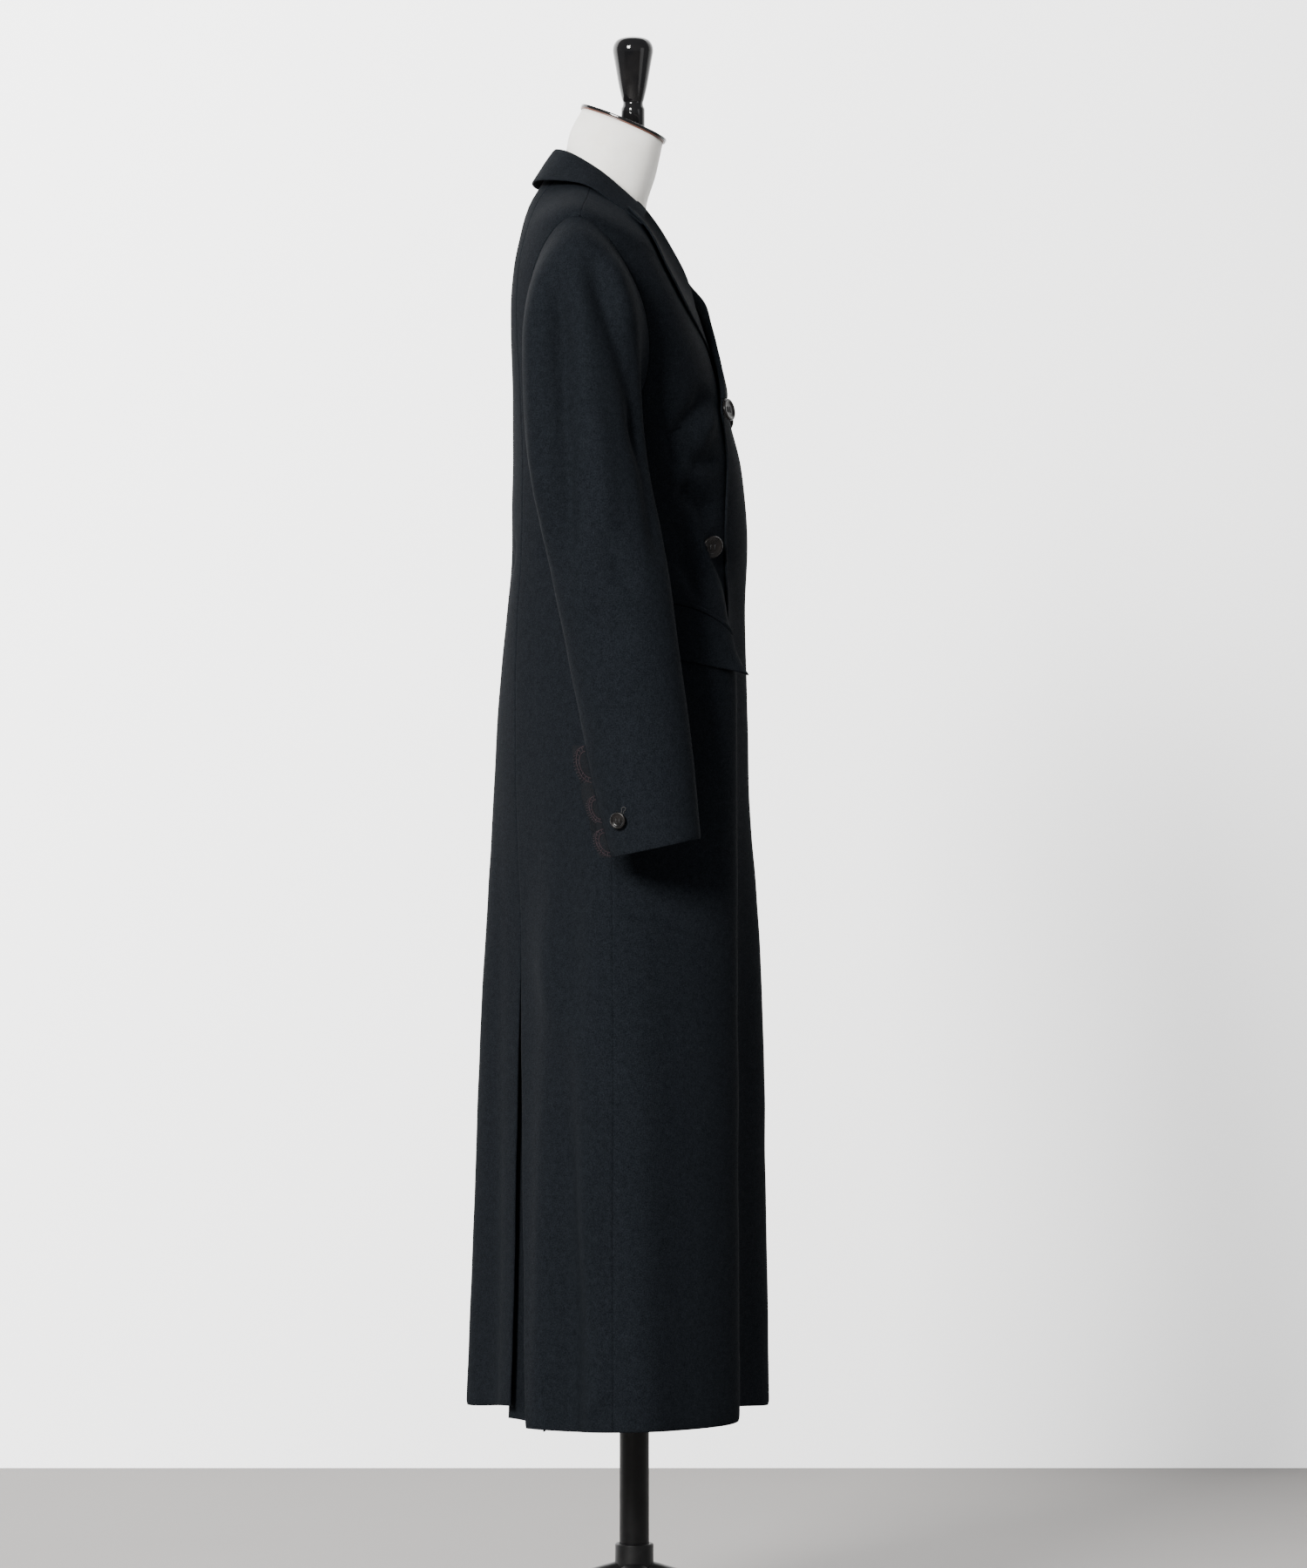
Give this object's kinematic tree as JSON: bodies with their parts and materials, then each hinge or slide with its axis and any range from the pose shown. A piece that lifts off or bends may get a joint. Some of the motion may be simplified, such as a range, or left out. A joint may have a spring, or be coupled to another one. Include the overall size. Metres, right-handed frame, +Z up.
{
  "type": "double-breasted coat on a dress form",
  "caption": "Long dark wool double-breasted coat with peaked lapels, flap pockets and lace at the cuffs, standing open at the hem on a limbless dress form with a four-legged iron base.",
  "frame": {"origin": "on the floor under the dress form's pole", "axes": "+Z up; the coat's front faces -Y; the wearer's right is -X"},
  "size_m": [0.6, 0.6, 1.645],
  "materials": {
    "navy_wool": "dark navy wool, matt, fine nap",
    "plum_lace": "dark plum lace",
    "dark_horn": "dark horn, polished",
    "cream_linen": "cream plain weave",
    "black_lacquer": "black gloss lacquer",
    "black_iron": "black satin paint"
  },
  "bodies": {
    "root": {"back": "navy_wool", "side_back_right": "navy_wool", "side_back_left": "navy_wool", "pleat_right": "navy_wool", "pleat_left": "navy_wool", "front_right": "navy_wool", "front_left": "navy_wool", "lapel_right": "navy_wool", "lapel_left": "navy_wool", "collar": "navy_wool", "top_sleeve_right": "navy_wool", "top_sleeve_left": "navy_wool", "under_sleeve_right": "navy_wool", "under_sleeve_left": "navy_wool", "pocket_welt_right": "navy_wool", "pocket_welt_left": "navy_wool", "pocket_flap_right": "navy_wool", "pocket_flap_left": "navy_wool", "cuff_lace_right": "plum_lace", "cuff_lace_left": "plum_lace", "button_upper_right": "dark_horn", "button_upper_left": "dark_horn", "button_lower_right": "dark_horn", "button_lower_left": "dark_horn", "cuff_button_right": "dark_horn", "cuff_button_left": "dark_horn", "torso": "cream_linen", "neck_cap": "black_lacquer", "finial": "black_lacquer", "pole": "black_iron", "base_hub": "black_iron", "base_leg_front": "black_iron", "base_leg_back": "black_iron", "base_leg_right": "black_iron", "base_leg_left": "black_iron"}
  },
  "joints": []
}
